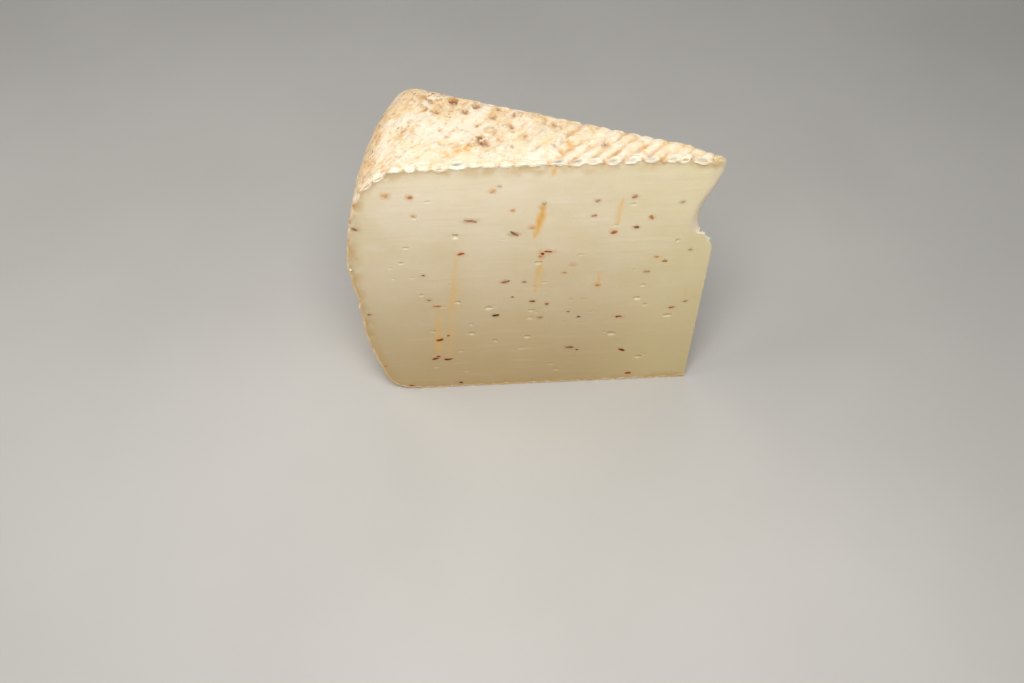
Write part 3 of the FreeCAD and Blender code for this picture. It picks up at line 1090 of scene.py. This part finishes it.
# Places and sizes of the crumbs on the ledge and by the rim.
def crumbPlaces():
    random.seed(77)
    places = []
    for _ in range(crumbs["ledge"]):
        reach = random.uniform(tip["ledgeReach"] + 0.3 * mm, tip["ledgeEndReach"])
        outwards = (tip["ledgeEndReach"] - reach) / crumbs["cornerReach"]
        fall = tip["ledgeFall"] * (1 - math.sqrt(1 - outwards**2))
        turn = random.uniform(0.02, 0.6) * angle
        spot = np.array([axisX - reach * math.cos(turn), frontY + reach * math.sin(turn), ledge - fall])
        torn = [chippedOff(spot[None])[0], 0, tornAway(spot[None])[0]]
        places.append((spot - torn, random.uniform(*crumbs["ledgeSizes"])))
    rim = np.array(rindStretches()[1])
    for z in crumbs["rimHeights"]:
        reach = nearestOn(rim, 1, z)[0] + random.uniform(0.0, 0.3) * mm
        spot = onCut("front", reach, z * mm) + [0, random.uniform(-0.1, 0.5) * mm, 0]
        places.append((spot, random.uniform(*crumbs["rimSizes"])))
    return places


def buildCrumbs(pieces):
    trees = [BVHTree.FromObject(piece, bpy.context.evaluated_depsgraph_get()) for piece in pieces]
    grit, ball = startBall()
    made = []
    for spot, size in crumbPlaces():
        crumb = copyOf(grit)
        shape = ball * (1 + 0.7 * grain(ball, 0.4, random.uniform(0, 90)))[:, None]
        shape *= [random.uniform(0.7, 1.3) * size * mm for _ in range(3)]
        movePoints(crumb, shape + seated(spot, trees))
        made.append(crumb)
    bpy.data.objects.remove(grit)
    piece = joinPieces(made, "cheeseCrumbs")
    piece.data.materials.append(crumbMaterial())
    smoothShade(piece, 60)
    print("crumbs:", len(piece.data.polygons), "faces")
    return piece


# Materials.


# A tone's sRGB hex value, turned to linear.
def colour(code):
    parts = [int(code[k : k + 2], 16) / 255 for k in (0, 2, 4)]
    return [c / 12.92 if c <= 0.04045 else ((c + 0.055) / 1.055) ** 2.4 for c in parts] + [1]


# Adds a node with its settings. An input is linked if it is another node's output, and set if not.
def addNode(tree, kind, inputs=None, **settings):
    node = tree.nodes.new("ShaderNode" + kind)
    for name, value in settings.items():
        setattr(node, name, value)
    for name, value in (inputs or {}).items():
        if isinstance(value, bpy.types.NodeSocket):
            tree.links.new(value, node.inputs[name])
        else:
            node.inputs[name].default_value = value
    return node


# Lays colours over the first one, a row at a time. A row is a tone, how much of it and what it is painted
# by. One in patches adds their size, the noise at which they start and are full, and their stretch.
def layColours(tree, first, rows, lean=0.0):
    place = addNode(tree, "TexCoord").outputs["Object"]
    base = colour(first)
    for index, (tone, amount, painters, *patches) in enumerate(rows):
        factor = amount
        if patches:
            size, start, full, stretch = patches
            apart = [index * mm * 37] * 3  # so that no two rows have the same patches
            turned = {"Vector": place, "Location": apart, "Rotation": (0, 0, lean), "Scale": stretch}
            mapped = addNode(tree, "Mapping", turned, vector_type="TEXTURE").outputs[0]
            noisy = {"Vector": mapped, "Scale": 1 / (size * mm), "Detail": 5.0}
            cloud = addNode(tree, "TexNoise", noisy).outputs[0]
            span = {"Value": cloud, "From Min": start, "From Max": full, "To Max": amount}
            factor = addNode(tree, "MapRange", span, interpolation_type="SMOOTHSTEP").outputs[0]
        for painter in painters:
            mask = addNode(tree, "Attribute", attribute_name=painter).outputs["Fac"]
            factor = addNode(tree, "Math", {0: mask, 1: factor}, operation="MULTIPLY").outputs[0]
        base = addNode(tree, "Mix", {0: factor, 6: base, 7: colour(tone)}, data_type="RGBA").outputs[2]
    return base


# Fine relief under the shape's own, one row over the other: size, height, strength and stretch.
def layBumps(tree, rows):
    place = addNode(tree, "TexCoord").outputs["Object"]
    normal = None
    for size, rise, strength, stretch in rows:
        stretched = {"Vector": place, "Scale": stretch}
        mapped = addNode(tree, "Mapping", stretched, vector_type="TEXTURE").outputs[0]
        noisy = {"Vector": mapped, "Scale": 1 / (size * mm), "Detail": 4.0}
        cloud = addNode(tree, "TexNoise", noisy).outputs[0]
        inputs = {"Height": cloud, "Distance": rise * mm, "Strength": strength}
        if normal:
            inputs["Normal"] = normal
        normal = addNode(tree, "Bump", inputs).outputs[0]
    return normal


def newMaterial(name):
    material = bpy.data.materials.new(name)
    material.use_nodes = True
    material.node_tree.nodes.clear()
    return material, material.node_tree


# Pressed sheep's-milk cheese, cut with a knife: close and waxy. Light goes a little way in and softens.
def pasteMaterial():
    material, tree = newMaterial("pressedCheesePaste")
    even, drawn = (1, 1, 1), (16, 16, 1)
    rows = [
        ("ebdbb8", 1.0, (), 15, 0.35, 0.68, even),
        ("f7edd6", 0.4, (), 4.5, 0.52, 0.75, (2, 2, 1)),
        # Painted shade: darker and yellower towards the bottom.
        ("cdb383", 0.95, ("lower",)),
        ("a98f62", 0.27, ("lower", "lower")),
        ("e6d9a4", 0.4, ("tipward",)),
        ("dfcba2", 0.3, (), 1.1, 0.52, 0.75, drawn),
        ("c8a466", 0.75, ("ochre",), 3.2, 0.25, 0.6, even),
        ("dca074", 0.46, ("warm",)),
        ("b98f72", 0.5, ("blush",)),
        ("ecbb60", 1.0, ("oil",)),
        ("dd9a3c", 0.5, ("oil", "oil"), 1.6, 0.4, 0.65, (1, 1, 3)),
        # Painted shade in the eyes' hollows, then a painted highlight on their lower lips.
        ("cbb48a", 0.45, ("hollow",)),
        ("fbf3e2", 0.14, ("paintedHighlight",)),
        # Painted shade on the break above the ledge.
        ("dfcdb6", 0.65, ("broken",)),
        ("c9b48c", 0.75, ("tipTop",), 1.6, 0.25, 0.6, even),
        ("f8f0dc", 0.6, ("torn",)),
    ]
    base = layColours(tree, "f2e4c8", rows)
    place = addNode(tree, "TexCoord").outputs["Object"]
    cloud = addNode(tree, "TexNoise", {"Vector": place, "Scale": 1 / (7 * mm), "Detail": 4.0}).outputs[0]
    greasy = addNode(tree, "MapRange", {"Value": cloud, "To Min": 0.42, "To Max": 0.58}).outputs[0]
    inputs = {
        "Base Color": base,
        "Roughness": greasy,
        "IOR": 1.45,
        "Subsurface Weight": 0.3,
        "Subsurface Radius": (1.0, 0.72, 0.42),
        "Subsurface Scale": 1.8 * mm,
        "Normal": layBumps(tree, [(1.1, 0.16, 0.4, drawn), (0.5, 0.1, 0.4, even)]),
    }
    shader = addNode(tree, "BsdfPrincipled", inputs)
    addNode(tree, "OutputMaterial", {"Surface": shader.outputs[0]})
    return material


# The same cheese torn, not cut: dull and pale.
def crumbMaterial():
    material, tree = newMaterial("tornCheese")
    base = layColours(tree, "f6ecd4", [("e3cfa2", 1.0, (), 0.8, 0.4, 0.65, (1, 1, 1))])
    normal = layBumps(tree, [(0.25, 0.05, 0.5, (1, 1, 1))])
    inputs = {"Base Color": base, "Roughness": 0.7, "IOR": 1.45, "Normal": normal}
    shader = addNode(tree, "BsdfPrincipled", inputs)
    addNode(tree, "OutputMaterial", {"Surface": shader.outputs[0]})
    return material


# Dry natural rind with white mould on it, pressed in a mat: matt, dusty and uneven.
def rindMaterial():
    material, tree = newMaterial("dryMouldRind")
    even, drawn, long, upright = (1, 1, 1), (1.5, 1, 1), (2.4, 1, 1), (1, 1, 2.4)
    rows = [
        ("eedcb4", 1.0, (), 5, 0.40, 0.64, even),
        ("efd296", 0.6, (), 7, 0.50, 0.74, even),
        ("e2c08e", 0.5, (), 2.6, 0.50, 0.74, long),
        ("d8ac74", 0.6, ("rimward",), 1.2, 0.47, 0.68, drawn),
        ("e6a95c", 0.85, (), 2.4, 0.56, 0.72, drawn),
        ("d5cfc0", 0.55, (), 3.0, 0.57, 0.74, even),
        ("e9be80", 0.75, ("tanned",), 2.2, 0.34, 0.64, drawn),
        ("c0883e", 0.95, ("groove",), 4, 0.30, 0.58, long),
        ("d0a06a", 0.6, ("hole",), 1.2, 0.35, 0.6, even),
        # The rim's tan and brown: partly the rind's own colour, partly painted shade for the side turned
        # from the lamps; the pale streaks are its own.
        ("e9bc7e", 0.85, ("rim",), 5, 0.25, 0.62, upright),
        ("f8e6c2", 0.8, ("rim",), 2.4, 0.48, 0.68, upright),
        ("a8703e", 0.75, ("rim",), 1.1, 0.54, 0.68, even),
        ("c99a60", 0.5, ("tanned",), 0.9, 0.50, 0.66, even),
        ("f4e8cf", 0.35, ("bloom",), 3.0, 0.34, 0.62, drawn),
        ("f6ecd6", 0.6, (), 6.5, 0.52, 0.62, drawn),
        ("b8864e", 0.85, ("speckled",), 1.7, 0.46, 0.64, even),
        ("cf9c62", 0.8, ("around",), 1.3, 0.36, 0.60, even),
        ("e2a658", 0.8, ("ripe",), 1.5, 0.34, 0.60, drawn),
        ("7e4a1e", 0.95, ("pit",), 1.1, 0.32, 0.56, even),
        ("744c2a", 0.95, ("speckled",), 1.1, 0.54, 0.65, even),
        ("8a6238", 0.8, ("rimward",), 0.9, 0.65, 0.75, drawn),
        ("f8eedc", 0.55, ("lip",), 1.2, 0.25, 0.55, even),
        ("b98a58", 0.55, ("gap",), 1.0, 0.36, 0.62, even),
        ("dcbb86", 0.85, ("edge",), 1.5, 0.30, 0.58, even),
        ("e58a60", 0.8, ("stain",)),
        # Painted shade: grey in the hollow behind each lip.
        ("9f9c94", 0.95, ("hollow",)),
    ]
    base = layColours(tree, "f1e5cb", rows, math.radians(45))
    normal = layBumps(tree, [(1.4, 0.35, 0.45, even), (0.4, 0.16, 0.5, even)])
    inputs = {"Base Color": base, "Roughness": 0.88, "IOR": 1.45, "Sheen Weight": 0.1, "Normal": normal}
    shader = addNode(tree, "BsdfPrincipled", inputs)
    addNode(tree, "OutputMaterial", {"Surface": shader.outputs[0]})
    return material


flakeShades = {"red": ("c85c1c", "903a0c"), "dark": ("ac6c46", "7a3e22"), "orange": ("e2b06c", "c88c44")}


# Dried chilli skin, crushed: leathery and dull, paler where it lies in the paste.
def flakeMaterial(kind):
    light, deep = flakeShades[kind]
    material, tree = newMaterial("driedChilli" + kind.capitalize())
    rows = [
        (deep, 1.0, (), 1.2, 0.38, 0.6, (1, 1, 1)),
        ("dcc48c", 1.0, ("sunk",)),
        ("50260c", 0.9, ("charred",)),
    ]
    base = layColours(tree, light, rows)
    normal = layBumps(tree, [(1.4, 0.08, 0.4, (1, 1, 1))])
    inputs = {
        "Base Color": base,
        "Roughness": 0.6,
        "IOR": 1.5,
        "Specular IOR Level": 0.1,
        "Normal": normal,
    }
    shader = addNode(tree, "BsdfPrincipled", inputs)
    addNode(tree, "OutputMaterial", {"Surface": shader.outputs[0]})
    return material


# Everything together.

wedge = buildWedge()
refineCuts(wedge)
shapeWedge(wedge)
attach(wedge, "root")
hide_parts("cheese_wedge")

rind = buildRind()
shapeRind(rind)
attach(rind, "root")

for kind in flakeKinds:
    piece = buildFlakes(kind)
    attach(piece, "root")

piece = buildCrumbs([wedge, rind])
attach(piece, "root")

# Floor, light and camera.

studio = {
    "floor": ("cbc8c2", "c6c3bd"),  # the board's two tones
    "lamps": {  # place, size, power, aim
        "key": ((-0.01, -0.15, 0.265), 0.13, 0.6, (0, 0, 0.06)),
        "side": ((-0.38, 0.0, 0.32), 0.35, 0.85, (0, 0, 0.06)),
        "right": ((0.4, -0.16, 0.1), 0.3, 0.42, (0, 0, 0.06)),
        "behind": ((0.1, 0.55, 0.4), 0.6, 1.0, (0, 0, 0.04)),
    },
    "world": ("eeebe6", 0.1),  # tone, strength
}
cameraView = {
    "lens": 33.05,
    "sensor": 36,
    "fromAxis": Vector((-60.1, -187.0, 228.2)) * mm,
    "pitch": math.radians(48.07),
    "turn": math.radians(-1.10),
    "roll": math.radians(-1.71),
}


# A matt painted board: pale, with the faintest clouding.
def floorMaterial():
    light, deep = studio["floor"]
    material, tree = newMaterial("mattBoard")
    base = layColours(tree, light, [(deep, 1.0, (), 110, 0.35, 0.65, (1, 1, 1))])
    shader = addNode(tree, "BsdfPrincipled", {"Base Color": base, "Roughness": 0.8})
    addNode(tree, "OutputMaterial", {"Surface": shader.outputs[0]})
    return material


deselect()
bpy.ops.mesh.primitive_plane_add(size=4, location=(0, 0, cadLow.z))
floor = bpy.context.object
floor.name = "floor"
floor.data.materials.append(floorMaterial())

for name, (place, size, power, aim) in studio["lamps"].items():
    deselect()
    bpy.ops.object.light_add(type="AREA", location=place)
    lamp = bpy.context.object
    lamp.name = name
    lamp.data.size = size
    lamp.data.energy = power
    lamp.rotation_euler = (Vector(aim) - lamp.location).to_track_quat("-Z", "Y").to_euler()

world = bpy.data.worlds.new("studio")
world.use_nodes = True
world.node_tree.nodes["Background"].inputs[0].default_value = colour(studio["world"][0])
world.node_tree.nodes["Background"].inputs[1].default_value = studio["world"][1]
bpy.context.scene.world = world
bpy.context.scene.view_settings.view_transform = "Standard"

deselect()
bpy.ops.object.camera_add(location=Vector((axisX, frontY, 0)) + cameraView["fromAxis"])
camera = bpy.context.object
camera.data.lens = cameraView["lens"]
camera.data.sensor_width = cameraView["sensor"]
look = Matrix.Rotation(cameraView["turn"], 3, "Z")
look = look @ Matrix.Rotation(math.pi / 2 - cameraView["pitch"], 3, "X")
look = look @ Matrix.Rotation(cameraView["roll"], 3, "Z")
camera.rotation_euler = look.to_euler()
camera.data.clip_start = 0.01
bpy.context.scene.camera = camera
print("stage set")
